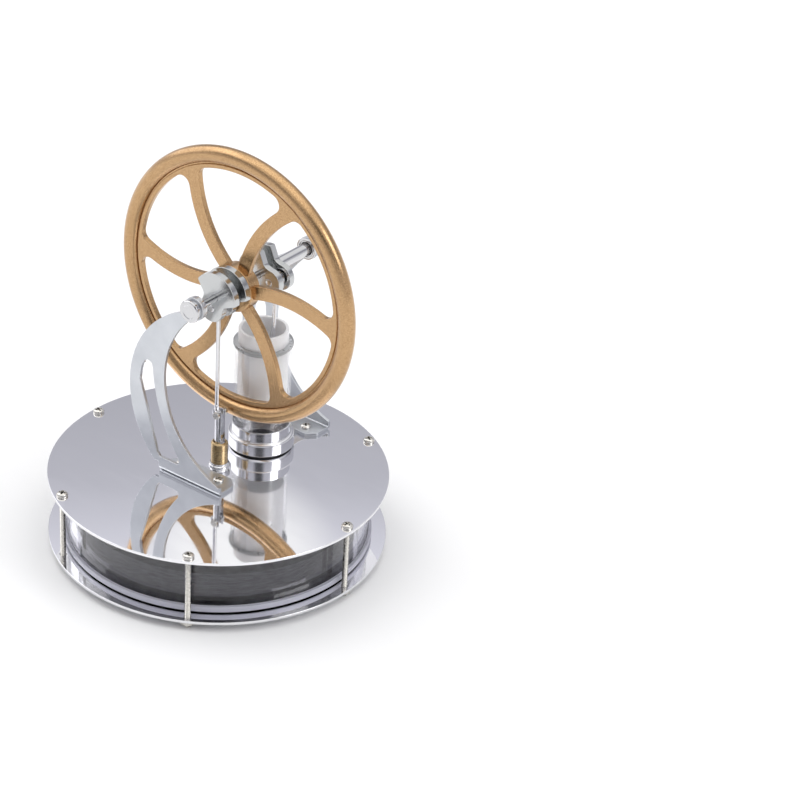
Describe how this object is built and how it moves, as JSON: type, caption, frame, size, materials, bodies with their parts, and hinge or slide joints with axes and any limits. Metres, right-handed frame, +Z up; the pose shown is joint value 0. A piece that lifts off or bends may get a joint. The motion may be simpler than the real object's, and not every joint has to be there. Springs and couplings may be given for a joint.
{
  "type": "low-temperature stirling engine model",
  "caption": "Tabletop low-temperature Stirling engine with a clear displacer chamber between round plates, a glass power piston, a crankshaft and a bronze flywheel.",
  "frame": {"origin": "on the displacer axis, in the plane of the six screw tails that the engine stands on", "axes": "+Z up along the displacer axis, +Y along the crankshaft from the displacer crank to the piston crank, +X to the right of that"},
  "size_m": [0.092, 0.092, 0.1135],
  "materials": {
    "polished_plate": "mirror-polished stainless steel",
    "clear_acrylic": "clear, polished",
    "clear_glass": "clear drawn glass",
    "frosted_glass": "ground, frosted",
    "gasket_rubber": "matt",
    "zinc_sheet": "bright zinc plated sheet",
    "screw_steel": "nickel plated",
    "guide_brass": "turned",
    "polished_steel": "turned and polished",
    "shaft_steel": "ground",
    "bronze_paint": "metallic bronze paint",
    "foam": "closed-cell foam",
    "aluminium": "machined"
  },
  "bodies": {
    "frame": {"bottom_plate": "polished_plate", "top_plate": "polished_plate", "chamber_ring": "clear_acrylic", "lower_gasket": "gasket_rubber", "upper_gasket": "gasket_rubber", "clamp_screws": "screw_steel", "clamp_nuts": "screw_steel", "guide_bush": "guide_brass", "gland_nut": "polished_steel", "glass_cylinder": "clear_glass", "cylinder_seat": "polished_steel", "cylinder_gasket": "gasket_rubber", "front_bracket": "zinc_sheet", "rear_bracket": "zinc_sheet", "bracket_screws": "screw_steel", "front_bearing_cup": "polished_steel", "rear_bearing_cup": "polished_steel", "bearing_outer_races": "polished_steel"},
    "crank": {"bearing_inner_races": "polished_steel", "bearing_balls": "polished_steel", "front_shaft": "shaft_steel", "middle_shaft": "shaft_steel", "rear_shaft": "shaft_steel", "shaft_spacer": "aluminium", "displacer_crank_front_web": "polished_steel", "displacer_crank_rear_web": "polished_steel", "displacer_crank_pin": "shaft_steel", "piston_crank_front_web": "polished_steel", "piston_crank_rear_web": "polished_steel", "piston_crank_pin": "shaft_steel", "flywheel": "bronze_paint", "flywheel_bush": "guide_brass"},
    "displacer_link": {"displacer_conrod": "shaft_steel", "displacer_conrod_bush": "guide_brass"},
    "piston_link": {"piston_conrod": "shaft_steel", "piston_conrod_bush": "guide_brass"},
    "displacer": {"displacer_disc": "foam", "displacer_washers": "shaft_steel", "displacer_nut": "screw_steel", "displacer_rod": "shaft_steel", "fork_screw": "screw_steel"},
    "piston": {"piston": "frosted_glass", "piston_clevis": "aluminium", "wrist_pin": "shaft_steel"}
  },
  "joints": [
    {"name": "crank_spin", "type": "hinge", "parent": "frame", "child": "crank", "pos_m": [0, 0, 0.0748], "axis": [0, 1, 0], "continuous": true},
    {"name": "displacer_link_swing", "type": "hinge", "parent": "crank", "child": "displacer_link", "pos_m": [-0.00117, 0, 0.07119], "axis": [0, 1, 0], "continuous": true},
    {"name": "piston_link_swing", "type": "hinge", "parent": "crank", "child": "piston_link", "pos_m": [0.00361, 0.0176, 0.07363], "axis": [0, 1, 0], "continuous": true},
    {"name": "displacer_slide", "type": "slide", "parent": "frame", "child": "displacer", "axis": [0, 0, 1], "range_m": [-0.00018, 0.00741]},
    {"name": "piston_slide", "type": "slide", "parent": "frame", "child": "piston", "axis": [0, 0, 1], "range_m": [-0.00263, 0.00497]}
  ],
  "couplings": [
    {"joint": "displacer_link_swing", "follows": "crank_spin", "ratio": -1},
    {"joint": "piston_link_swing", "follows": "crank_spin", "ratio": -1}
  ]
}
